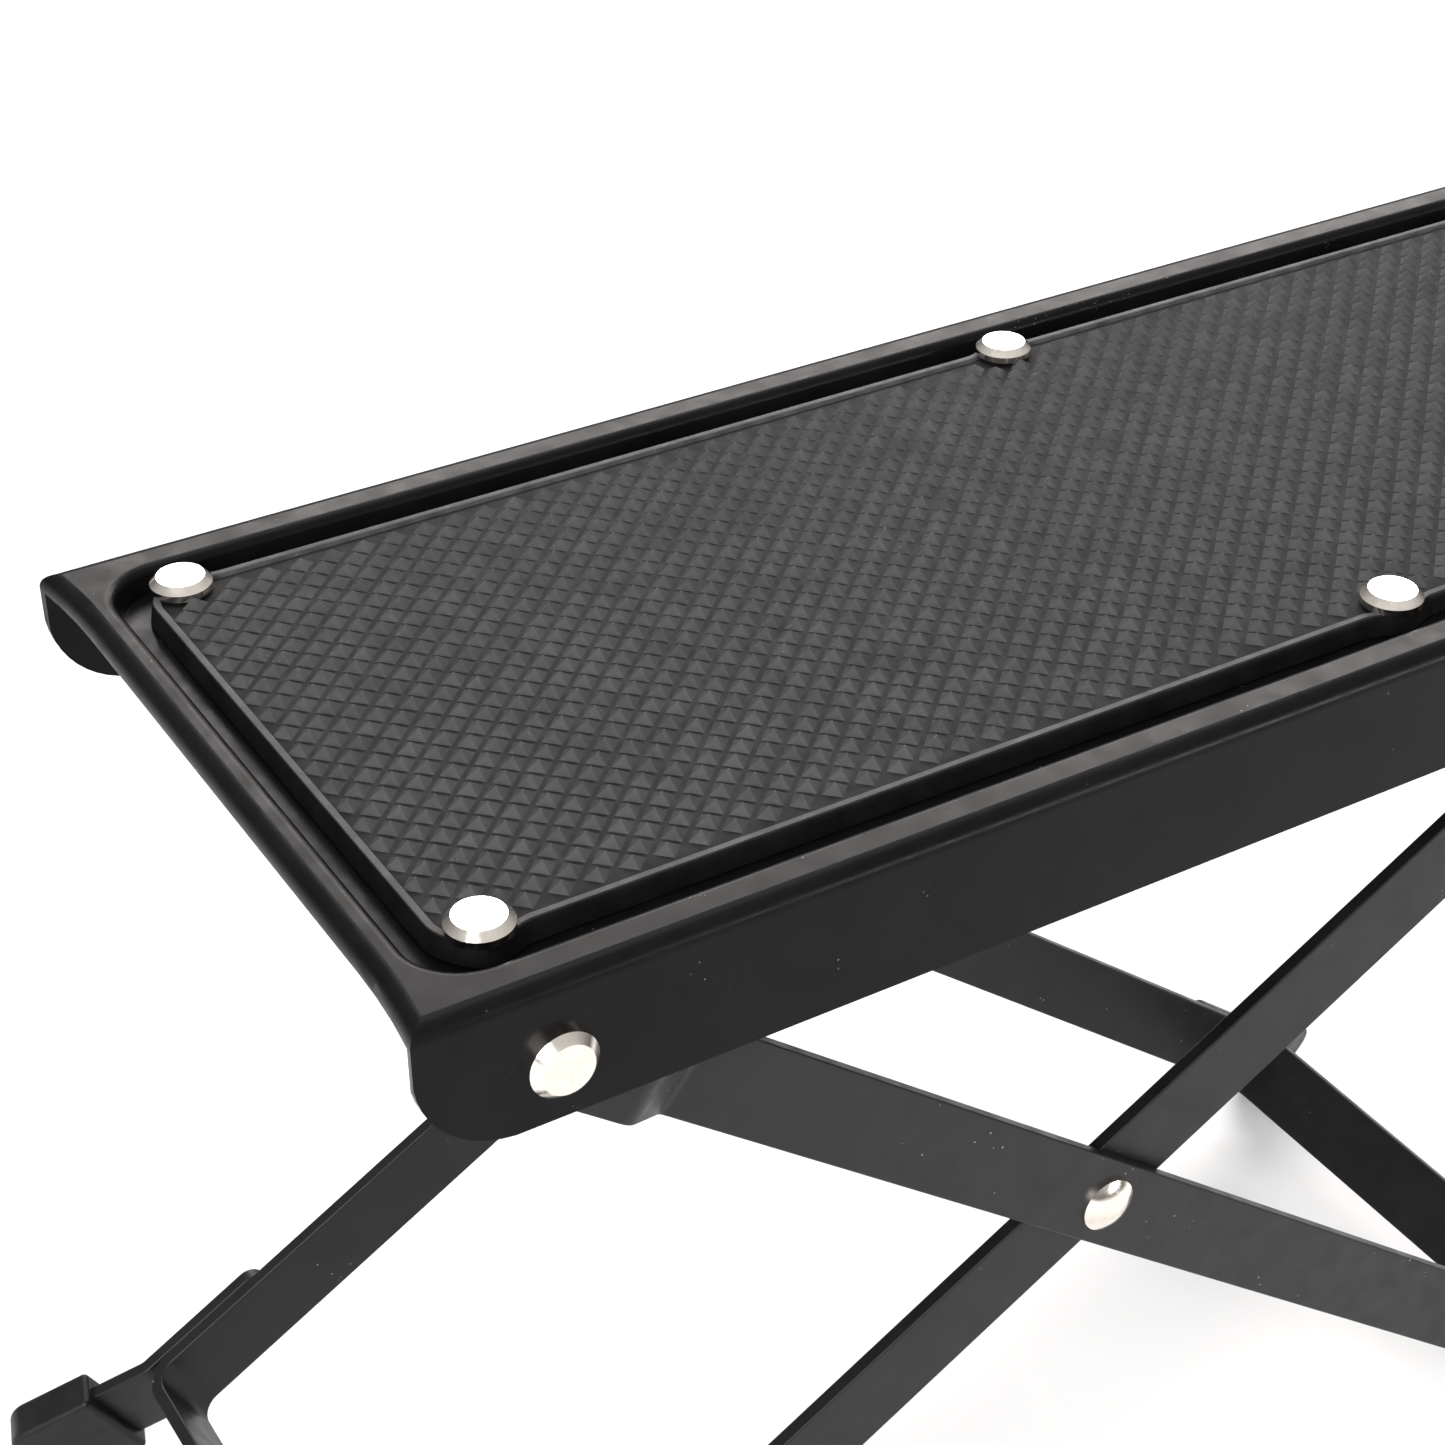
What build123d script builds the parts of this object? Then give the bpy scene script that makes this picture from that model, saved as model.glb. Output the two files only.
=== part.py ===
from build123d import *
from math import atan2, cos, radians, sin
import os

os.makedirs("parts", exist_ok=True)

# A folding foot step. A pressed steel deck with a rubber tread mat stands on two
# crossed leg frames bent from flat bar. The row's +X runs along the step towards its
# raised end, +Y to the rear and +Z up. The origin is on the floor, on the centreline,
# under the middle of the overall length. All sizes are in millimetres and degrees.

# Deck: a channel pressed from sheet, with a shallow tray in its top for the mat.
deck_length = 285.0
deck_width = 108.0
sheet = 1.2
flange_depth = 18.5
fold_radius = 2.2
flange_corner_radius = 12.5
corner_blend = 0.05
end_flare = 1.2
end_flare_length = 15.0
end_lip_depth = 2.6
rim_end = 5.4
rim_side = 6.0
tray_depth = 3.4
tray_draft = 18.0
tray_corner_radius = 7.5
tray_shoulder = 1.4
tray_heel = 1.0

# Tread mat and its six rivets.
mat_thickness = 3.1
mat_end_margin = 5.0
mat_side_margin = 1.6
mat_corner_radius = 5.0
mat_boss_radius = 3.2
mat_edge_radius = 0.5
mat_rivet_inset = 14.5
mat_rivet_pitch_y = 82.7
mat_rivet_head_radius = 4.0
mat_rivet_head_height = 1.8
mat_rivet_head_bevel = 0.9
mat_rivet_shank_radius = 2.0
mat_rivet_tail_radius = 3.1
mat_rivet_tail_height = 1.0

# Linkage, measured in the deck's side view with the step set at its tallest.
pivot_inset = 16.9
pivot_drop = 10.5
outer_leg_angle = 38.8
inner_leg_angle = 29.8
pivot_to_crossing = 107.7
outer_corner = 252.0
inner_corner = 119.0
lock_pin_drop = 11.6

# Leg frames: flat bar, bent into a U with the open end at the top.
bar_width = 12.4
bar_thickness = 2.0
bar_bend_radius = 4.0
bar_edge_radius = 0.3
end_rounding = 6.0
joggle_start = 16.5
joggle_end = 25.5
outer_leg_face_top = 51.95
outer_leg_face = 46.2
inner_leg_face = 43.7

# Foot tabs and the boots pushed over them.
tab_overlap = 22.0
tab_flare = 21.0
tab_reach = 23.0
tab_corner_radius = 2.5
boot_length = 15.5
boot_cap = 1.5
boot_width = 16.0
boot_thickness = 6.0
boot_toe_radius = 4.0
boot_edge_radius = 0.9
toe_rest_height = 3.7

# Rivets at the two hinges on each side.
hinge_shank_radius = 2.5
running_clearance = 0.05
fixed_clearance = 0.02
pivot_head_radius = 4.2
pivot_head_height = 2.1
pivot_head_bevel = 1.0
crossing_head_radius = 4.0
crossing_head_height = 1.9
crossing_head_skirt = 0.5
hinge_tail_radius = 3.7
hinge_tail_height = 1.0
tail_bevel = 0.4
washer_radius = 5.0

# Height lock: a cross pin on the inner frame inside two notched brackets.
lock_pin_radius = 2.5
lock_spigot_radius = 2.0
lock_spigot_proud = 0.7
rack_thickness = 1.6
rack_face = 36.2
rack_foot_width = 12.0
rack_margin = 5.0
rack_edge = 3.0
rack_corner_radius = 3.0
rack_bend_radius = 2.0
notch_count = 5
notch_pitch = 7.5
notch_clearance = 0.2
pin_sink = 0.8
pin_gap_above = 0.25
pin_gap_below = 0.4

# Side view in the deck's own axes: X from the deck's low end, Z up from the rim's top.
a = radians(outer_leg_angle)
b = radians(inner_leg_angle)
outer_down = Vector(cos(a), 0, -sin(a))
outer_up = Vector(sin(a), 0, cos(a))
inner_down = Vector(-cos(b), 0, -sin(b))
inner_up = Vector(-sin(b), 0, cos(b))
pivot = Vector(pivot_inset, 0, -pivot_drop)
crossing = pivot + outer_down * pivot_to_crossing
lock_reach = (-lock_pin_drop - crossing.Z) / sin(b)
lock_pin_place = crossing - inner_down * lock_reach

# The deck's tilt sets all four boot toes down on one floor.
toe_along = (tab_reach + boot_cap - boot_toe_radius) * cos(radians(tab_flare))
toe_below = boot_width / 2 - boot_toe_radius
outer_toe = pivot + outer_down * (outer_corner + toe_along) - outer_up * toe_below
inner_toe = crossing + inner_down * (inner_corner + toe_along) - inner_up * toe_below
tilt = atan2(inner_toe.Z - outer_toe.Z, outer_toe.X - inner_toe.X)
deck_x = Vector(cos(tilt), 0, sin(tilt))
deck_z = Vector(-sin(tilt), 0, cos(tilt))


def turned(v):
    """A direction in the deck's side view, turned into the row's frame."""
    return deck_x * v.X + deck_z * v.Z


# The origin lies under the middle of the overall length, from boot tip to raised end.
boot_tip_x = turned(inner_toe + inner_up * (2 * toe_below)).X - boot_toe_radius
deck_tip_x = turned(Vector(deck_length, 0, flange_corner_radius - flange_depth)).X
deck_origin = Vector(-(boot_tip_x + deck_tip_x) / 2, 0, toe_rest_height - turned(outer_toe).Z)


def placed(v):
    """A point in the deck's side view, moved to its place in the row's frame."""
    return deck_origin + turned(v)


front = Vector(0, -1, 0)
deck_plane = Plane(origin=deck_origin, x_dir=deck_x, z_dir=deck_z)
deck_side = Plane(origin=deck_origin, x_dir=deck_x, z_dir=front)
outer_plane = Plane(origin=placed(pivot), x_dir=turned(outer_down), z_dir=turned(outer_up))
outer_side = Plane(origin=placed(pivot), x_dir=turned(outer_down), z_dir=front)
inner_plane = Plane(origin=placed(crossing), x_dir=turned(inner_down), z_dir=-turned(inner_up))
inner_side = Plane(origin=placed(crossing), x_dir=turned(inner_down), z_dir=front)
pin_side = Plane(origin=placed(lock_pin_place), x_dir=deck_x, z_dir=front)
along = Axis(deck_origin, deck_x)
up = Axis(deck_origin, deck_z)

half_width = deck_width / 2
flange_inner_face = half_width - sheet
mid_length = deck_length / 2
tray_length = deck_length - 2 * rim_end
tray_width = deck_width - 2 * rim_side
tray_underside = -tray_depth - sheet
mat_top = mat_thickness - tray_depth
mat_rivet_pitch_x = mid_length - mat_rivet_inset
mat_length = 2 * (mat_rivet_pitch_x + mat_end_margin)
mat_width = mat_rivet_pitch_y + 2 * mat_side_margin


def deck_outline(inset):
    """The deck's plan, drawn in by inset: each end flares out at its corners."""
    y = half_width - inset
    for end, turn in ((0.0, 1), (deck_length, -1)):
        corner = end + turn * inset
        waist = corner + turn * end_flare
        Line((waist, end_flare_length - y), (waist, y - end_flare_length))
        TangentArc((waist, y - end_flare_length), (corner, y), tangent=(0, 1))
        TangentArc((waist, end_flare_length - y), (corner, -y), tangent=(0, -1))
    Line((inset, y), (deck_length - inset, y))
    Line((inset, -y), (deck_length - inset, -y))


# ---- Deck ----
with BuildPart() as deck:
    with BuildSketch(deck_plane):
        with BuildLine():
            deck_outline(0)
        make_face()
    extrude(amount=-flange_depth)
    with BuildSketch(deck_plane.offset(-sheet)):
        with BuildLine():
            deck_outline(sheet)
        make_face()
    extrude(amount=-flange_depth, mode=Mode.SUBTRACT)
    with BuildSketch(deck_plane.offset(-end_lip_depth)):
        with Locations((mid_length, 0)):
            Rectangle(deck_length + 2 * end_flare, 2 * flange_inner_face)
    extrude(amount=-flange_depth, mode=Mode.SUBTRACT)
    with BuildSketch(deck_side):
        with Locations((0, -flange_depth), (deck_length, -flange_depth)):
            Rectangle(2 * flange_corner_radius, 2 * flange_corner_radius)
        with Locations(
            (flange_corner_radius, flange_corner_radius - flange_depth),
            (deck_length - flange_corner_radius, flange_corner_radius - flange_depth),
        ):
            Circle(flange_corner_radius + corner_blend, mode=Mode.SUBTRACT)
    extrude(amount=deck_width, both=True, mode=Mode.SUBTRACT)
    with BuildSketch(deck_plane):
        with Locations((mid_length, 0)):
            RectangleRounded(tray_length + 2 * sheet, tray_width + 2 * sheet, tray_corner_radius + sheet)
    extrude(amount=tray_underside, taper=tray_draft)
    with BuildSketch(deck_plane):
        with Locations((mid_length, 0)):
            RectangleRounded(tray_length, tray_width, tray_corner_radius)
    extrude(amount=-tray_depth, taper=tray_draft, mode=Mode.SUBTRACT)
    rim = deck.faces().sort_by(up)[-1]
    fillet(rim.outer_wire().edges(), radius=fold_radius)
    fillet(deck.faces().sort_by(up)[-1].inner_wires().edges(), radius=tray_shoulder)
    tray_floor = deck.faces().filter_by(deck_plane).sort_by(up)[-2]
    fillet(tray_floor.edges(), radius=tray_heel)
    with BuildSketch(deck_plane):
        with Locations((mid_length, 0)):
            with GridLocations(mat_rivet_pitch_x, mat_rivet_pitch_y, 3, 2):
                Circle(mat_rivet_shank_radius + fixed_clearance)
    extrude(amount=-flange_depth, mode=Mode.SUBTRACT)
    with BuildSketch(deck_side):
        with Locations((pivot_inset, -pivot_drop)):
            Circle(hinge_shank_radius + fixed_clearance)
    extrude(amount=deck_width, both=True, mode=Mode.SUBTRACT)
deck.part.label = "deck"

# ---- Tread mat, with a boss round each of its rivets ----
with BuildPart() as tread_mat:
    with BuildSketch(deck_plane.offset(-tray_depth)):
        with Locations((mid_length, 0)):
            RectangleRounded(mat_length, mat_width, mat_corner_radius)
    extrude(amount=mat_thickness)
    fillet(tread_mat.faces().sort_by(up)[-1].outer_wire().edges(), radius=mat_edge_radius)
    with BuildSketch(deck_plane.offset(-tray_depth)):
        with Locations((mid_length, 0)):
            with GridLocations(mat_rivet_pitch_x, mat_rivet_pitch_y, 3, 2):
                Circle(mat_boss_radius)
    extrude(amount=mat_thickness)
    with BuildSketch(deck_plane.offset(-tray_depth)):
        with Locations((mid_length, 0)):
            with GridLocations(mat_rivet_pitch_x, mat_rivet_pitch_y, 3, 2):
                Circle(mat_rivet_shank_radius + fixed_clearance)
    extrude(amount=mat_thickness, mode=Mode.SUBTRACT)
tread_mat.part.label = "tread_mat"

# ---- Mat rivets ----
with BuildPart() as mat_rivets:
    with BuildSketch(deck_plane.offset(mat_top)):
        with Locations((mid_length, 0)):
            with GridLocations(mat_rivet_pitch_x, mat_rivet_pitch_y, 3, 2):
                Circle(mat_rivet_head_radius)
    extrude(amount=mat_rivet_head_height)
    chamfer(mat_rivets.faces().group_by(up)[-1].edges(), length=mat_rivet_head_bevel)
    with BuildSketch(deck_plane.offset(mat_top)):
        with Locations((mid_length, 0)):
            with GridLocations(mat_rivet_pitch_x, mat_rivet_pitch_y, 3, 2):
                Circle(mat_rivet_shank_radius)
    extrude(amount=tray_underside - mat_top - mat_rivet_tail_height)
    with BuildSketch(deck_plane.offset(tray_underside)):
        with Locations((mid_length, 0)):
            with GridLocations(mat_rivet_pitch_x, mat_rivet_pitch_y, 3, 2):
                Circle(mat_rivet_tail_radius)
    extrude(amount=-mat_rivet_tail_height)
    chamfer(mat_rivets.faces().group_by(up)[0].edges(), length=tail_bevel)
mat_rivets.part.label = "mat_rivets"


# ---- Outer leg frame: hinged to the flanges, joggled in to pass under the tray ----
top_line = outer_leg_face_top - bar_thickness / 2
outer_line = outer_leg_face - bar_thickness / 2
with BuildPart() as outer_leg_frame:
    with BuildSketch(outer_plane):
        with BuildLine():
            FilletPolyline(
                (-bar_width / 2, top_line),
                (joggle_start, top_line),
                (joggle_end, outer_line),
                (outer_corner, outer_line),
                (outer_corner, -outer_line),
                (joggle_end, -outer_line),
                (joggle_start, -top_line),
                (-bar_width / 2, -top_line),
                radius=bar_bend_radius,
            )
        trace(line_width=bar_thickness)
    extrude(amount=bar_width / 2, both=True)
    bar_ends = outer_leg_frame.edges().filter_by(Axis.Y).filter_by(lambda e: e.length < bar_width)
    fillet(bar_ends, radius=end_rounding)
    fillet(outer_leg_frame.faces().filter_by(outer_plane).edges(), radius=bar_edge_radius)
    with BuildSketch(outer_side):
        with Locations((0, 0), (pivot_to_crossing, 0)):
            Circle(hinge_shank_radius + running_clearance)
    extrude(amount=deck_width, both=True, mode=Mode.SUBTRACT)
outer_leg_frame.part.label = "outer_leg_frame"

# ---- Inner leg frame: crosses inside the outer one and carries the lock pin ----
inner_line = inner_leg_face - bar_thickness / 2
with BuildPart() as inner_leg_frame:
    with BuildSketch(inner_plane):
        with BuildLine():
            FilletPolyline(
                (-lock_reach - bar_width / 2, inner_line),
                (inner_corner, inner_line),
                (inner_corner, -inner_line),
                (-lock_reach - bar_width / 2, -inner_line),
                radius=bar_bend_radius,
            )
        trace(line_width=bar_thickness)
    extrude(amount=bar_width / 2, both=True)
    bar_ends = inner_leg_frame.edges().filter_by(Axis.Y).filter_by(lambda e: e.length < bar_width)
    fillet(bar_ends, radius=end_rounding)
    fillet(inner_leg_frame.faces().filter_by(inner_plane).edges(), radius=bar_edge_radius)
    with BuildSketch(inner_side):
        Circle(hinge_shank_radius + running_clearance)
        with Locations((-lock_reach, 0)):
            Circle(lock_spigot_radius + fixed_clearance)
    extrude(amount=deck_width, both=True, mode=Mode.SUBTRACT)
inner_leg_frame.part.label = "inner_leg_frame"

# ---- Foot tabs and boots: one of each at the end of every leg bar ----
feet = []
for leg, leg_plane, corner, bar_face in (
    ("outer", outer_plane, outer_corner, outer_leg_face),
    ("inner", inner_plane, inner_corner, inner_leg_face),
):
    for side, place in ((-1, "front"), (1, "rear")):
        tab_line = side * (bar_face + bar_thickness / 2)
        flare = radians(side * tab_flare)
        tab_x = leg_plane.x_dir * cos(flare) + Vector(0, sin(flare), 0)
        tab_origin = leg_plane.from_local_coords((corner, tab_line, 0))
        tab_plane = Plane(origin=tab_origin, x_dir=tab_x, z_dir=leg_plane.z_dir)
        with BuildPart() as tab:
            with BuildSketch(leg_plane):
                with BuildLine():
                    FilletPolyline(
                        (corner - tab_overlap, tab_line),
                        (corner, tab_line),
                        (corner + tab_reach * cos(flare), tab_line + tab_reach * sin(flare)),
                        radius=bar_bend_radius,
                    )
                trace(line_width=bar_thickness)
            extrude(amount=bar_width / 2, both=True)
            upper_corners = tab.edges().filter_by(Axis.Y)
            fillet(upper_corners, radius=tab_corner_radius)
            fillet(tab.faces().filter_by(leg_plane).edges(), radius=bar_edge_radius)
        tab.part.label = f"{leg}_foot_tab_{place}"
        feet.append(tab)

        with BuildPart() as boot:
            with BuildSketch(tab_plane):
                with Locations((tab_reach + boot_cap - boot_length / 2, 0)):
                    Rectangle(boot_length, boot_thickness)
            extrude(amount=boot_width / 2, both=True)
            across = boot.edges().filter_by(Axis(tab_origin, tab_plane.y_dir))
            fillet(across.sort_by(Axis(tab_origin, tab_x))[-2:], radius=boot_toe_radius)
            fillet(boot.edges(), radius=boot_edge_radius)
            with BuildSketch(tab_plane):
                with Locations((tab_reach / 2, 0)):
                    Rectangle(tab_reach, bar_thickness + 2 * fixed_clearance)
            extrude(amount=bar_width / 2 + fixed_clearance, both=True, mode=Mode.SUBTRACT)
            with BuildSketch(Plane.XY):
                Rectangle(2 * deck_length, 2 * deck_width)
            extrude(amount=-boot_width, mode=Mode.SUBTRACT)
        boot.part.label = f"{leg}_boot_{place}"
        feet.append(boot)


def hinge_rivet_shank(head_face, tail_face):
    """The hidden half of a hinge rivet: from under its head, in to its upset tail."""
    tail_end = tail_face - hinge_tail_height
    Polyline(
        (hinge_shank_radius, head_face),
        (hinge_shank_radius, tail_face),
        (hinge_tail_radius, tail_face),
        (hinge_tail_radius, tail_end + tail_bevel),
        (hinge_tail_radius - tail_bevel, tail_end),
        (0, tail_end),
    )


# ---- Pivot rivets: flat heads with a wide bevel, outside the deck's flanges ----
pivot_tail_face = outer_leg_face_top - bar_thickness - running_clearance
with BuildPart() as pivot_rivets:
    with BuildSketch(Plane(origin=placed(pivot), x_dir=deck_x, z_dir=deck_z)):
        with BuildLine():
            hinge_rivet_shank(half_width, pivot_tail_face)
            Polyline(
                (0, pivot_tail_face - hinge_tail_height),
                (0, half_width + pivot_head_height),
                (pivot_head_radius - pivot_head_bevel, half_width + pivot_head_height),
                (pivot_head_radius, half_width + pivot_head_height - pivot_head_bevel),
                (pivot_head_radius, half_width),
                (hinge_shank_radius, half_width),
            )
        make_face()
    revolve(axis=Axis(placed(pivot), (0, 1, 0)))
    mirror(about=Plane.XZ)
pivot_rivets.part.label = "pivot_rivets"

# ---- Pivot washers: between the flanges and the outer leg frame ----
with BuildPart() as pivot_washers:
    with BuildSketch(Plane(origin=placed(pivot), z_dir=front).offset(outer_leg_face_top + running_clearance)):
        Circle(washer_radius)
        Circle(hinge_shank_radius + fixed_clearance, mode=Mode.SUBTRACT)
    extrude(amount=flange_inner_face - outer_leg_face_top - running_clearance)
    mirror(about=Plane.XZ)
pivot_washers.part.label = "pivot_washers"

# ---- Crossing rivets: domed heads outside the outer leg frame ----
crossing_tail_face = inner_leg_face - bar_thickness - running_clearance
dome_foot = outer_leg_face + crossing_head_skirt
with BuildPart() as crossing_rivets:
    with BuildSketch(Plane(origin=placed(crossing), x_dir=deck_x, z_dir=deck_z)):
        with BuildLine():
            hinge_rivet_shank(outer_leg_face, crossing_tail_face)
            Line((0, crossing_tail_face - hinge_tail_height), (0, outer_leg_face + crossing_head_height))
            TangentArc(
                (0, outer_leg_face + crossing_head_height),
                (crossing_head_radius, dome_foot),
                tangent=(1, 0),
            )
            Polyline(
                (crossing_head_radius, dome_foot),
                (crossing_head_radius, outer_leg_face),
                (hinge_shank_radius, outer_leg_face),
            )
        make_face()
    revolve(axis=Axis(placed(crossing), (0, 1, 0)))
    mirror(about=Plane.XZ)
crossing_rivets.part.label = "crossing_rivets"

# ---- Crossing washers: between the two leg frames ----
with BuildPart() as crossing_washers:
    with BuildSketch(Plane(origin=placed(crossing), z_dir=front).offset(inner_leg_face + running_clearance)):
        Circle(washer_radius)
        Circle(hinge_shank_radius + fixed_clearance, mode=Mode.SUBTRACT)
    extrude(amount=outer_leg_face - bar_thickness - inner_leg_face - running_clearance)
    mirror(about=Plane.XZ)
crossing_washers.part.label = "crossing_washers"

# ---- Lock pin: a round rod with a spigot riveted through each inner leg bar ----
with BuildPart() as lock_pin:
    with BuildSketch(pin_side):
        Circle(lock_pin_radius)
    extrude(amount=inner_leg_face - bar_thickness, both=True)
    with BuildSketch(pin_side):
        Circle(lock_spigot_radius)
    extrude(amount=inner_leg_face + lock_spigot_proud, both=True)
    fillet(lock_pin.faces().sort_by(Axis.Y)[-1].edges(), radius=tail_bevel)
    fillet(lock_pin.faces().sort_by(Axis.Y)[0].edges(), radius=tail_bevel)
lock_pin.part.label = "lock_pin"

# ---- Lock racks: angle brackets under the tray, with the notched window for the pin ----
window_start = lock_pin_place.X - lock_pin_radius - notch_clearance
window_end = pivot_inset + pivot_to_crossing + lock_reach + lock_pin_radius + notch_clearance
window_top = lock_pin_radius + pin_gap_above - lock_pin_drop
window_bottom = -lock_pin_radius - pin_sink - pin_gap_below - lock_pin_drop
rack_bottom = window_bottom - rack_edge
rack_length = window_end - window_start + 2 * rack_margin
rack_middle = (window_start + window_end) / 2
racks = []
for side, place in ((1, "front"), (-1, "rear")):
    web_inner = side * (rack_face - rack_thickness)
    with BuildPart() as rack:
        with BuildSketch(deck_side.offset(web_inner)) as web:
            with Locations((rack_middle, (tray_underside + rack_bottom) / 2)):
                Rectangle(rack_length, tray_underside - rack_bottom)
            fillet(web.vertices().sort_by(Axis.Y)[:2], radius=rack_corner_radius)
            with Locations((rack_middle, (window_top + window_bottom) / 2)):
                Rectangle(window_end - window_start, window_top - window_bottom, mode=Mode.SUBTRACT)
            for step in range(notch_count):
                with Locations((lock_pin_place.X + step * notch_pitch, window_top)):
                    Circle(lock_pin_radius + notch_clearance, mode=Mode.SUBTRACT)
        extrude(amount=side * rack_thickness)
        with BuildSketch(deck_plane.offset(tray_underside)):
            with Locations((rack_middle, side * (rack_foot_width / 2 - rack_face))):
                Rectangle(rack_length, rack_foot_width)
        extrude(amount=-rack_thickness)
        bend = rack.edges().filter_by(along).group_by(up)[-1].sort_by(Axis.Y)
        fillet(bend[0] if side > 0 else bend[-1], radius=rack_bend_radius)
    rack.part.label = f"lock_rack_{place}"
    racks.append(rack)

pieces = [deck, tread_mat, mat_rivets, pivot_rivets, pivot_washers]
pieces += [outer_leg_frame, inner_leg_frame, crossing_rivets, crossing_washers, lock_pin]
for piece in pieces + feet + racks:
    export_step(piece.part, f"parts/{piece.part.label}.step")
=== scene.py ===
"""Looks of the folding foot step: painted deck and legs, studded rubber mat, nickel rivets, rubber boots."""
import math
import random

import bpy
from mathutils import Matrix, Vector


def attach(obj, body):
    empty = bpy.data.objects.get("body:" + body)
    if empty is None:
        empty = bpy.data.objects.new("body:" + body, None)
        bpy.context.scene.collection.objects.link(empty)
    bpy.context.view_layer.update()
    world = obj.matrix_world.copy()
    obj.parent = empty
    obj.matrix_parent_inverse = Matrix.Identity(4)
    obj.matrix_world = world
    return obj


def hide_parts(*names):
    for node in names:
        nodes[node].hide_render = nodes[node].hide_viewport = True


MM = 0.001
UPWARD = 0.9  # least z of the normal of a face on the mat's top

# Mat outline: u runs along the deck, y across it and w up from it.
RIVET_HEAD_R = 4.0 * MM
EDGE_TO_RIVET = 1.6 * MM
MAT_CORNER_R = 5.0 * MM
SMALLEST_CORNER_R = 0.3 * MM
CORNER_STEPS = 10
LONG_SIDE = 20 * MM
LONG_SIDE_STEP = 0.6 * MM
BOSS_R = 3.2 * MM
BOSS_BLEND = 2.4 * MM
SWELL_DEPTH = 3.0 * MM

# Mat section, from the foot of its side over the raised lip to the sunk field.
FOOT_BEVEL_IN = 0.2 * MM
FOOT_BEVEL_UP = 0.3 * MM
SIDE_DRAFT = 0.45 * MM
LIP_ROUND = 0.28 * MM
OUTER_ROUND_STEPS = 4
INNER_ROUND_STEPS = 3
LIP_WIDTH = 1.15 * MM
LIP_TOE = 0.12 * MM
FIELD_DROP = 0.55 * MM

# Studs on the field. Every other place of a half-pitch grid is filled, so the rows are staggered.
COLUMNS_BETWEEN_RIVETS = 29
ROWS_BETWEEN_RIVETS = 19
ROWS_BEYOND_RIVETS = 2
STUD_SIDE = 2.48 * MM
STUD_TIP_SIDE = 0.16 * MM
STUD_RISE = 1.05 * MM
LOWEST_STUD = 0.95
STUD_ROOT = 0.15 * MM
STUD_SHIFT = 0.03 * MM
STUD_OVERHANG = 0.2 * MM
HEAD_CLEARANCE = 1.02

FLOOR_SIZE = 8.0
FLOOR_DROP = 0.2 * MM

# Studio sky: the heights (0 level, 1 overhead) between which it goes from its dim to its bright strength.
SKY_LOW, SKY_HIGH = 0.05, 0.95
SKY_DIM, SKY_BRIGHT = 0.16, 0.90

LIGHTS_AIM = (0.0, 0.0, 0.10)
WHITE = (1.0, 1.0, 1.0)
WARM_WHITE = (1.0, 0.955, 0.93)

CAMERA_LENS = 71.148
CAMERA_AT = Vector((-0.25064, -0.26104, 0.32579))
CAMERA_RIGHT = Vector((0.8482, -0.51769, 0.11204))
CAMERA_UP = Vector((0.17239, 0.46982, 0.86576))

random.seed(7)
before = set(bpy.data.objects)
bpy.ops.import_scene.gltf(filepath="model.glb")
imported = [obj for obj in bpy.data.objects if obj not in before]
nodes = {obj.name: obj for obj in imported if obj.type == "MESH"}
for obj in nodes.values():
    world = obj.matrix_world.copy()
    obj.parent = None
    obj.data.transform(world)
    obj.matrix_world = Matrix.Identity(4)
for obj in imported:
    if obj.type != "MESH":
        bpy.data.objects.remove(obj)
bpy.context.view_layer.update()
scene = bpy.context.scene


# ---------------------------------------------------------------- the deck's own axes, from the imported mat
deck_up = Vector((0, 0, 0))
for face in nodes["tread_mat"].data.polygons:
    if face.normal.z > UPWARD:
        deck_up += face.normal * face.area
deck_up.normalize()
deck_across = Vector((0, 1, 0))
deck_along = deck_across.cross(deck_up).normalized()


def extent(node, axis):
    """A node's lowest and highest place along an axis."""
    values = [v.co.dot(axis) for v in nodes[node].data.vertices]
    return min(values), max(values)


def deck_point(u, y, w):
    return deck_along * u + deck_across * y + deck_up * w


mat_u0, mat_u1 = extent("tread_mat", deck_along)
mat_y1 = extent("tread_mat", deck_across)[1]
mat_w0, mat_w1 = extent("tread_mat", deck_up)
rivet_u0, rivet_u1 = extent("mat_rivets", deck_along)
rivet_y0, rivet_y1 = extent("mat_rivets", deck_across)
rivet_us = (rivet_u0 + RIVET_HEAD_R, (rivet_u0 + rivet_u1) / 2, rivet_u1 - RIVET_HEAD_R)
rivet_ys = (rivet_y0 + RIVET_HEAD_R, rivet_y1 - RIVET_HEAD_R)
pad_y0, pad_y1 = rivet_ys[0] - EDGE_TO_RIVET, rivet_ys[1] + EDGE_TO_RIVET


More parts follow.
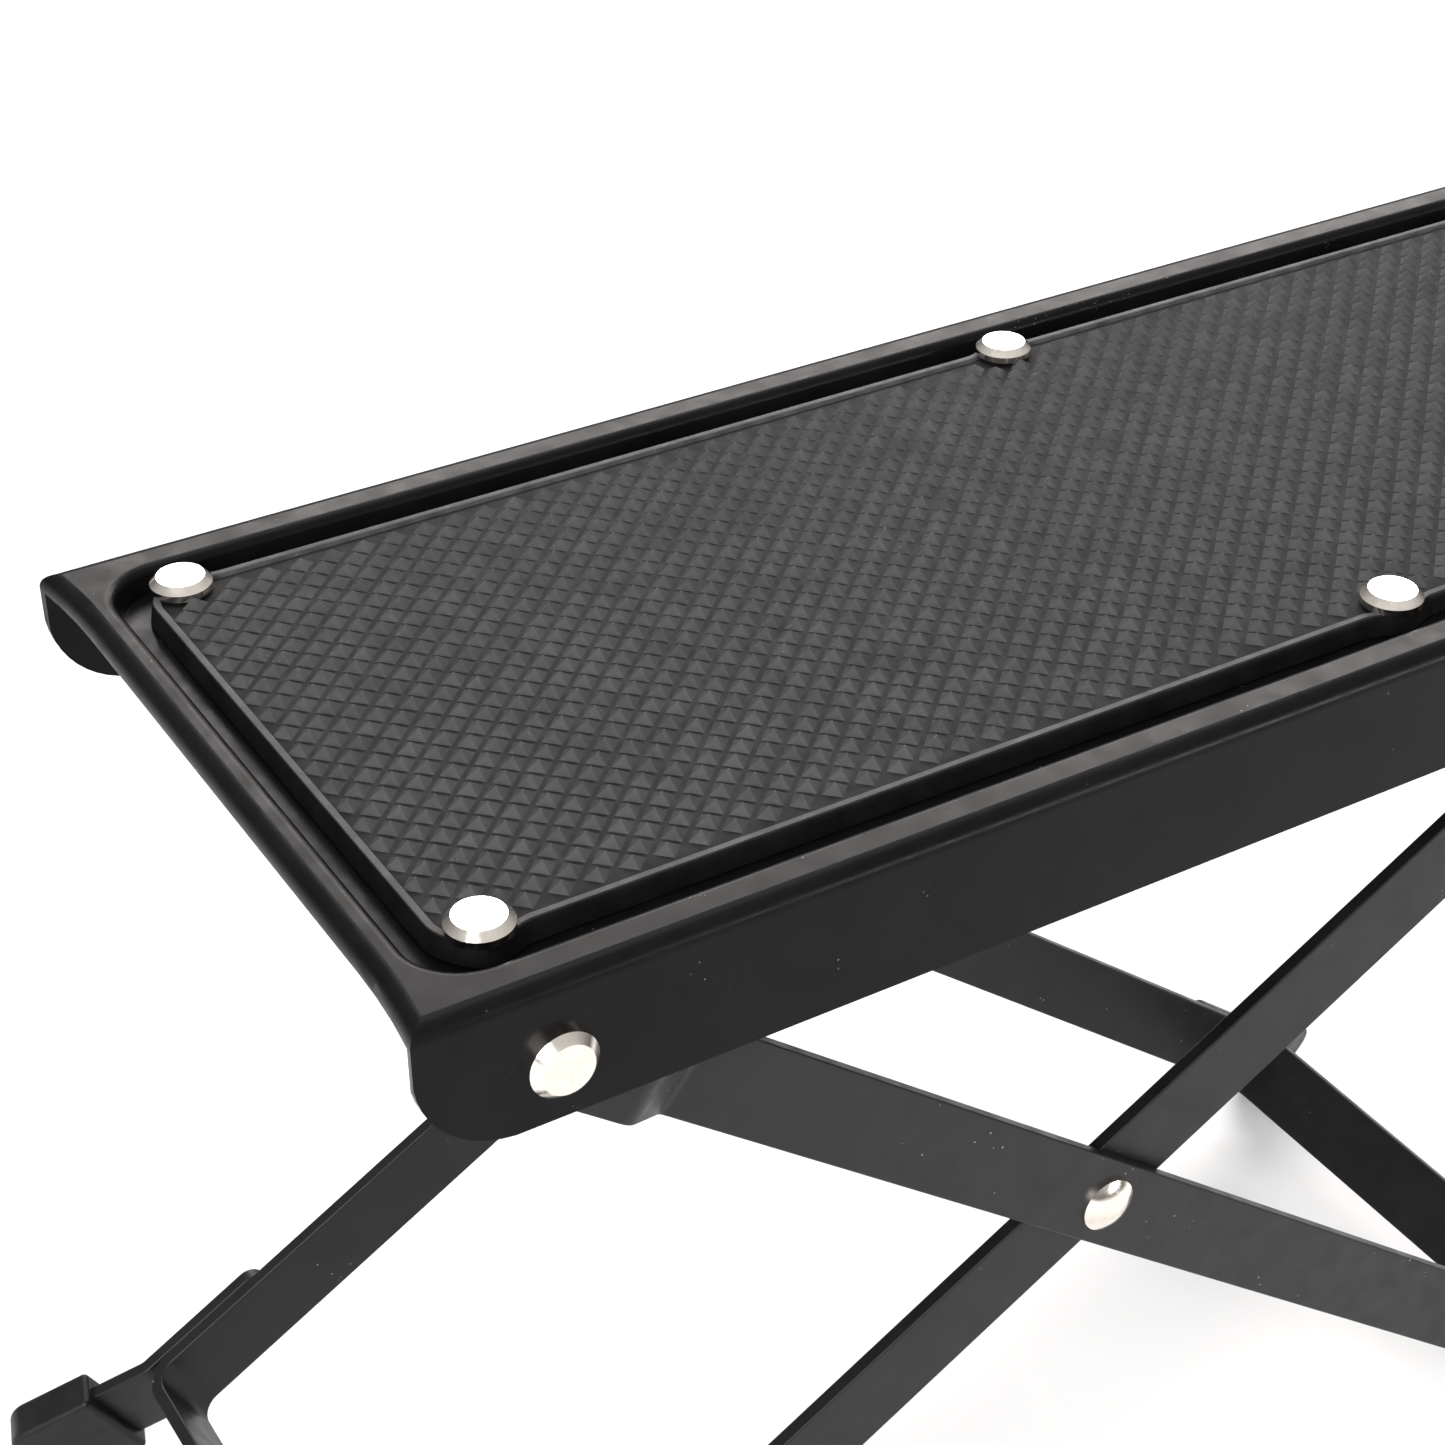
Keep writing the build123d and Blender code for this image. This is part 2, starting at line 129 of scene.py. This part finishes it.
# ---------------------------------------------------------------- materials; texture scales are per metre
class Shader:
    """A material's node tree, with short calls for the nodes the finishes share."""

    def __init__(self, name):
        self.material = bpy.data.materials.new(name)
        self.material.use_nodes = True
        self.tree = self.material.node_tree
        self.bsdf = self.tree.nodes["Principled BSDF"]
        self.coords = self.tree.nodes.new("ShaderNodeTexCoord").outputs["Object"]

    def link(self, source, target):
        self.tree.links.new(source, target)

    def noise(self, scale, detail, roughness=0.55):
        node = self.tree.nodes.new("ShaderNodeTexNoise")
        node.inputs["Scale"].default_value = scale
        node.inputs["Detail"].default_value = detail
        node.inputs["Roughness"].default_value = roughness
        self.link(self.coords, node.inputs["Vector"])
        return node.outputs["Fac"]

    def cells(self, scale):
        node = self.tree.nodes.new("ShaderNodeTexVoronoi")
        node.inputs["Scale"].default_value = scale
        self.link(self.coords, node.inputs["Vector"])
        return node.outputs["Distance"]

    def remap(self, source, low, high, to_low, to_high):
        node = self.tree.nodes.new("ShaderNodeMapRange")
        node.clamp = True
        node.inputs["From Min"].default_value = low
        node.inputs["From Max"].default_value = high
        node.inputs["To Min"].default_value = to_low
        node.inputs["To Max"].default_value = to_high
        self.link(source, node.inputs["Value"])
        return node.outputs["Result"]

    def both(self, a, b):
        """Two masks multiplied."""
        node = self.tree.nodes.new("ShaderNodeMath")
        node.operation = "MULTIPLY"
        self.link(a, node.inputs[0])
        self.link(b, node.inputs[1])
        return node.outputs[0]

    def mix(self, factor, a, b):
        node = self.tree.nodes.new("ShaderNodeMix")
        node.data_type = "RGBA"
        self.link(factor, node.inputs[0])
        for value, target in ((a, node.inputs[6]), (b, node.inputs[7])):
            if isinstance(value, tuple):
                target.default_value = value + (1.0,)
            else:
                self.link(value, target)
        return node.outputs[2]

    def bump(self, height, strength, distance):
        node = self.tree.nodes.new("ShaderNodeBump")
        node.inputs["Strength"].default_value = strength
        node.inputs["Distance"].default_value = distance
        self.link(height, node.inputs["Height"])
        return node.outputs["Normal"]

    def finish(self, colour, roughness, normal, metallic=0.0, specular=0.5):
        self.link(colour, self.bsdf.inputs["Base Color"])
        self.link(roughness, self.bsdf.inputs["Roughness"])
        self.link(normal, self.bsdf.inputs["Normal"])
        self.bsdf.inputs["Metallic"].default_value = metallic
        self.bsdf.inputs["Specular IOR Level"].default_value = specular
        return self.material


def paint(name, dark, light, speck, worn, gloss, wear, sheen):
    """Satin paint: a faint mottle, pale specks in patches and small chips, more of them for a lower wear."""
    s = Shader(name)
    mottle = s.remap(s.noise(90, 3), 0.35, 0.65, 0.0, 1.0)
    colour = s.mix(mottle, dark, light)
    speck_patches = s.remap(s.noise(160, 2), 0.60, 0.66, 0.0, 1.0)
    specks = s.both(s.remap(s.cells(620), 0.10, 0.06, 0.0, 1.0), speck_patches)
    colour = s.mix(specks, colour, speck)
    chip_patches = s.remap(s.noise(75, 2), wear, wear + 0.03, 0.0, 1.0)
    chips = s.both(s.remap(s.cells(1500), 0.16, 0.10, 0.0, 1.0), chip_patches)
    colour = s.mix(chips, colour, worn)
    rough = s.remap(s.noise(240, 2), 0.3, 0.7, gloss - 0.05, gloss + 0.07)
    normal = s.bump(s.noise(1800, 3, 0.7), 0.12, 0.04 * MM)
    return s.finish(colour, rough, normal, specular=sheen)


def rubber(name, dark, light, gloss, grain):
    """Moulded rubber: a mottle, fine dust in patches and a fine grain."""
    s = Shader(name)
    colour = s.mix(s.remap(s.noise(220, 5), 0.35, 0.65, 0.0, 1.0), dark, light)
    dust_patches = s.remap(s.noise(60, 2), 0.45, 0.6, 0.0, 1.0)
    dust = s.both(s.remap(s.noise(2600, 3), 0.62, 0.72, 0.0, 0.7), dust_patches)
    colour = s.mix(dust, colour, tuple(min(1.0, c * 2.2) for c in light))
    rough = s.remap(s.noise(420, 4), 0.3, 0.7, gloss - 0.06, gloss + 0.08)
    normal = s.bump(s.noise(3400, 4, 0.65), grain, 0.06 * MM)
    return s.finish(colour, rough, normal, specular=0.25)


def plated(name, dark, light, gloss, texture):
    """Bright metal with slight changes of tone and polish."""
    s = Shader(name)
    colour = s.mix(s.remap(s.noise(500, 4), 0.35, 0.65, 0.0, 1.0), dark, light)
    rough = s.remap(s.noise(900, 5), 0.3, 0.7, gloss - 0.04, gloss + 0.08)
    normal = s.bump(s.noise(3200, 3), texture, 0.02 * MM)
    return s.finish(colour, rough, normal, metallic=1.0)


def plain(name, colour, roughness):
    """One even colour, for the floor."""
    s = Shader(name)
    s.bsdf.inputs["Base Color"].default_value = colour + (1.0,)
    s.bsdf.inputs["Roughness"].default_value = roughness
    s.bsdf.inputs["Specular IOR Level"].default_value = 0.1
    return s.material


deck_paint = paint("deck_paint", dark=(0.0026, 0.0023, 0.0023), light=(0.0043, 0.0038, 0.0039),
                   speck=(0.20, 0.19, 0.18), worn=(0.12, 0.115, 0.11), gloss=0.31, wear=0.66, sheen=0.10)
leg_paint = paint("leg_paint", dark=(0.0050, 0.0046, 0.0051), light=(0.0076, 0.0071, 0.0078),
                  speck=(0.30, 0.29, 0.28), worn=(0.30, 0.29, 0.28), gloss=0.40, wear=0.69, sheen=0.28)
tread_rubber = rubber("tread_rubber", (0.033, 0.0325, 0.033), (0.052, 0.051, 0.052), gloss=0.52, grain=0.30)
# Field between the studs: the mat rubber made much darker, as painted shade between the studs; its rougher
# finish is real.
tread_groove_painted_shade = rubber("tread_groove_painted_shade", (0.003, 0.003, 0.003), (0.005, 0.005, 0.005), gloss=0.72, grain=0.30)
# Pad's side wall: the mat rubber made much darker, as painted shade on the side; its smoother finish is real.
tread_side_painted_shade = rubber("tread_side_painted_shade", (0.004, 0.004, 0.004), (0.007, 0.007, 0.007), gloss=0.34, grain=0.10)
boot_rubber = rubber("boot_rubber", (0.004, 0.004, 0.004), (0.007, 0.007, 0.007), gloss=0.42, grain=0.25)
rivet_nickel = plated("rivet_nickel", (0.76, 0.69, 0.62), (0.87, 0.81, 0.74), gloss=0.15, texture=0.06)
zinc_steel = plated("zinc_steel", (0.46, 0.47, 0.49), (0.62, 0.63, 0.64), gloss=0.32, texture=0.20)

FINISHES = {
    "deck_paint": (deck_paint, ("deck", "lock_rack_front", "lock_rack_rear")),
    "leg_paint": (leg_paint, ("outer_leg_frame", "outer_foot_tab_front", "outer_foot_tab_rear",
                              "inner_leg_frame", "inner_foot_tab_front", "inner_foot_tab_rear")),
    "tread_rubber": (tread_rubber, ("tread_mat",)),
    "boot_rubber": (boot_rubber, ("outer_boot_front", "outer_boot_rear",
                                  "inner_boot_front", "inner_boot_rear")),
    "rivet_nickel": (rivet_nickel, ("mat_rivets", "pivot_rivets", "crossing_rivets")),
    "zinc_steel": (zinc_steel, ("pivot_washers", "crossing_washers", "lock_pin")),
}
for slot_name, (material, members) in FINISHES.items():
    for member in members:
        mesh = nodes[member].data
        mesh.materials.clear()
        mesh.materials.append(material)


# ---------------------------------------------------------------- the studded mat
def swelling(u, y, inset):
    """How far the mat's long edges bulge out beside each rivet."""
    side = 1 if y > (pad_y0 + pad_y1) / 2 else -1
    edge = pad_y1 if side > 0 else pad_y0
    depth = abs(y - edge) - abs(inset)
    fade = min(max(1 - depth / SWELL_DEPTH, 0.0), 1.0)
    bulge = 0.0
    for rivet_u in rivet_us:
        away = min(abs(u - rivet_u) / (BOSS_R + BOSS_BLEND), 1.0)
        bulge = max(bulge, (math.cos(math.pi * away) + 1) / 2)
    return side * bulge * fade * (mat_y1 - pad_y1)


def rounded_loop(inset, w):
    """Corner-rounded outline of the mat, drawn in by inset, at height w."""
    radius = max(MAT_CORNER_R - inset, SMALLEST_CORNER_R)
    corners = (
        (mat_u1, pad_y1, 0),
        (mat_u0, pad_y1, 90),
        (mat_u0, pad_y0, 180),
        (mat_u1, pad_y0, 270),
    )
    loop = []
    for corner_u, corner_y, start in corners:
        side_u = 1 if corner_u == mat_u1 else -1
        side_y = 1 if corner_y == pad_y1 else -1
        centre_u = corner_u - side_u * (inset + radius)
        centre_y = corner_y - side_y * (inset + radius)
        for step in range(CORNER_STEPS + 1):
            angle = math.radians(start + 90 * step / CORNER_STEPS)
            loop.append((centre_u + radius * math.cos(angle), centre_y + radius * math.sin(angle)))
    dense = []
    for (u0, y0), (u1, y1) in zip(loop, loop[1:] + loop[:1]):
        run = abs(u1 - u0)
        parts = max(1, round(run / LONG_SIDE_STEP)) if run > LONG_SIDE else 1
        for part in range(parts):
            dense.append((u0 + (u1 - u0) * part / parts, y0 + (y1 - y0) * part / parts))
    return [deck_point(u, y + swelling(u, y, inset), w) for u, y in dense]


def new_object(name, vertices, faces, material):
    mesh = bpy.data.meshes.new(name)
    mesh.from_pydata([tuple(v) for v in vertices], [], faces)
    mesh.materials.append(material)
    mesh.validate()
    mesh.update()
    made = bpy.data.objects.new(name, mesh)
    scene.collection.objects.link(made)
    return made


def mat_profile():
    """The pad's section as (inset, height) pairs, from its foot over the lip to the field."""
    profile = [(FOOT_BEVEL_IN - SIDE_DRAFT, mat_w0), (-SIDE_DRAFT, mat_w0 + FOOT_BEVEL_UP)]
    for step in range(OUTER_ROUND_STEPS + 1):
        angle = math.radians(90 * step / OUTER_ROUND_STEPS)
        inset = LIP_ROUND * (1 - math.cos(angle))
        profile.append((inset, mat_w1 - LIP_ROUND * (1 - math.sin(angle))))
    for step in range(INNER_ROUND_STEPS + 1):
        angle = math.radians(90 * step / INNER_ROUND_STEPS)
        inset = LIP_WIDTH - LIP_ROUND * (1 - math.sin(angle))
        profile.append((inset, mat_w1 - LIP_ROUND * (1 - math.cos(angle))))
    profile.append((LIP_WIDTH + LIP_TOE, mat_w1 - FIELD_DROP))
    return profile


def mat_pad():
    """The mat's pad: a rounded outer edge, a thin raised lip and the sunk field inside it."""
    rings = [rounded_loop(inset, w) for inset, w in mat_profile()]
    count = len(rings[0])
    vertices = [vertex for ring in rings for vertex in ring]
    faces = []
    for ring in range(len(rings) - 1):
        low, high = ring * count, (ring + 1) * count
        for i in range(count):
            j = (i + 1) % count
            faces.append((low + i, low + j, high + j, high + i))
    faces.append(tuple(range(count - 1, -1, -1)))
    faces.append(tuple(range((len(rings) - 1) * count, len(rings) * count)))
    pad = new_object("tread_pad", vertices, faces, tread_rubber)
    pad.data.materials.append(tread_side_painted_shade)
    pad.data.materials.append(tread_groove_painted_shade)
    # The side wall's darker rubber (painted shade, with a real smoother finish) ends one strip short of the
    # lip's top; the field, darkened as painted shade between the studs, is the last face.
    for face in pad.data.polygons[:(OUTER_ROUND_STEPS + 1) * count]:
        face.material_index = 1
    pad.data.polygons[-1].material_index = 2
    return pad


def mat_studs():
    """Square pyramids set corner to corner in staggered rows; the rows at the two ends are cut by the lip."""
    step_u = (rivet_us[1] - rivet_us[0]) / COLUMNS_BETWEEN_RIVETS / 2
    step_y = (rivet_ys[1] - rivet_ys[0]) / ROWS_BETWEEN_RIVETS / 2
    reach = STUD_SIDE / math.sqrt(2)
    tip = STUD_TIP_SIDE / math.sqrt(2)
    low = mat_w1 - FIELD_DROP
    inner_u0 = mat_u0 + LIP_WIDTH - LIP_ROUND
    inner_u1 = mat_u1 - LIP_WIDTH + LIP_ROUND
    mid_y = (pad_y0 + pad_y1) / 2
    inner_y = pad_y1 - LIP_WIDTH - mid_y
    first_column = math.floor((inner_u0 - rivet_us[0]) / step_u) - 1
    last_column = math.ceil((inner_u1 - rivet_us[0]) / step_u) + 1
    vertices, faces = [], []
    for column in range(first_column, last_column + 1):
        u = rivet_us[0] + column * step_u
        if u < inner_u0 - STUD_OVERHANG or u > inner_u1 + STUD_OVERHANG:
            continue
        for row in range(-ROWS_BEYOND_RIVETS, 2 * ROWS_BETWEEN_RIVETS + ROWS_BEYOND_RIVETS + 1):
            y = rivet_ys[0] + row * step_y
            if (column + row) % 2 or abs(y - mid_y) > inner_y - reach:
                continue
            to_rivets = [math.hypot(u - ru, y - ry) for ru in rivet_us for ry in rivet_ys]
            if min(to_rivets) < RIVET_HEAD_R * HEAD_CLEARANCE:
                continue
            at_u = u + random.uniform(-STUD_SHIFT, STUD_SHIFT)
            at_y = y + random.uniform(-STUD_SHIFT, STUD_SHIFT)
            rise = STUD_RISE * random.uniform(LOWEST_STUD, 1.0)
            start = len(vertices)
            for size, w in ((reach, low - STUD_ROOT), (reach, low), (tip, low + rise)):
                for out_u, out_y in ((size, 0), (0, size), (-size, 0), (0, -size)):
                    cut_u = min(max(at_u + out_u, inner_u0), inner_u1)
                    vertices.append(deck_point(cut_u, at_y + out_y, w))
            for ring in (start, start + 4):
                for i in range(4):
                    j = (i + 1) % 4
                    faces.append((ring + i, ring + j, ring + 4 + j, ring + 4 + i))
            faces.append((start + 8, start + 9, start + 10, start + 11))
            faces.append((start + 3, start + 2, start + 1, start))
    return new_object("tread_studs", vertices, faces, tread_rubber)


for piece in (mat_pad(), mat_studs()):
    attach(piece, "deck")
    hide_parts("tread_mat")


# ---------------------------------------------------------------- floor, light and camera
bpy.ops.mesh.primitive_plane_add(size=FLOOR_SIZE, location=(0, 0, -FLOOR_DROP))
floor = bpy.context.object
floor.name = "floor"
floor.data.materials.append(plain("floor_paper", (0.84, 0.84, 0.84), 0.8))


def studio_world():
    """A pale sky that is bright overhead and dim towards the horizon."""
    world = bpy.data.worlds.new("studio")
    world.use_nodes = True
    tree = world.node_tree
    direction = tree.nodes.new("ShaderNodeTexCoord").outputs["Generated"]
    split = tree.nodes.new("ShaderNodeSeparateXYZ")
    height = tree.nodes.new("ShaderNodeMapRange")
    height.inputs["From Min"].default_value = SKY_LOW
    height.inputs["From Max"].default_value = SKY_HIGH
    height.inputs["To Min"].default_value = SKY_DIM
    height.inputs["To Max"].default_value = SKY_BRIGHT
    tree.links.new(direction, split.inputs[0])
    tree.links.new(split.outputs["Z"], height.inputs["Value"])
    tree.links.new(height.outputs["Result"], tree.nodes["Background"].inputs["Strength"])
    tree.nodes["Background"].inputs["Color"].default_value = WHITE + (1.0,)
    return world


def soft_light(name, position, size, watts, colour=WHITE):
    """A rectangular area light, turned to face the object."""
    data = bpy.data.lights.new(name, "AREA")
    data.shape = "RECTANGLE"
    data.size, data.size_y = size
    data.energy = watts
    data.color = colour
    light = bpy.data.objects.new(name, data)
    scene.collection.objects.link(light)
    light.location = position
    facing = Vector(LIGHTS_AIM) - Vector(position)
    light.rotation_euler = facing.to_track_quat("-Z", "Y").to_euler()


scene.world = studio_world()
scene.view_settings.view_transform = "Standard"
soft_light("overhead", (-0.15, 0.20, 1.15), size=(0.9, 0.7), watts=3.5)
soft_light("back_strip", (0.40, 0.76, 0.78), size=(0.85, 0.36), watts=8.5, colour=WARM_WHITE)
soft_light("left_front", (-0.95, -0.70, 0.62), size=(0.75, 0.75), watts=18.5)
soft_light("right_front", (0.62, -1.02, 0.40), size=(0.55, 0.14), watts=5.0)

camera_data = bpy.data.cameras.new("camera")
camera_data.sensor_width = 36.0
camera_data.lens = CAMERA_LENS
camera_data.clip_start = 0.01
camera = bpy.data.objects.new("camera", camera_data)
scene.collection.objects.link(camera)
camera_back = CAMERA_RIGHT.cross(CAMERA_UP)
camera_turn = Matrix((CAMERA_RIGHT, CAMERA_UP, camera_back)).transposed()
camera.matrix_world = Matrix.Translation(CAMERA_AT) @ camera_turn.to_4x4()
scene.camera = camera
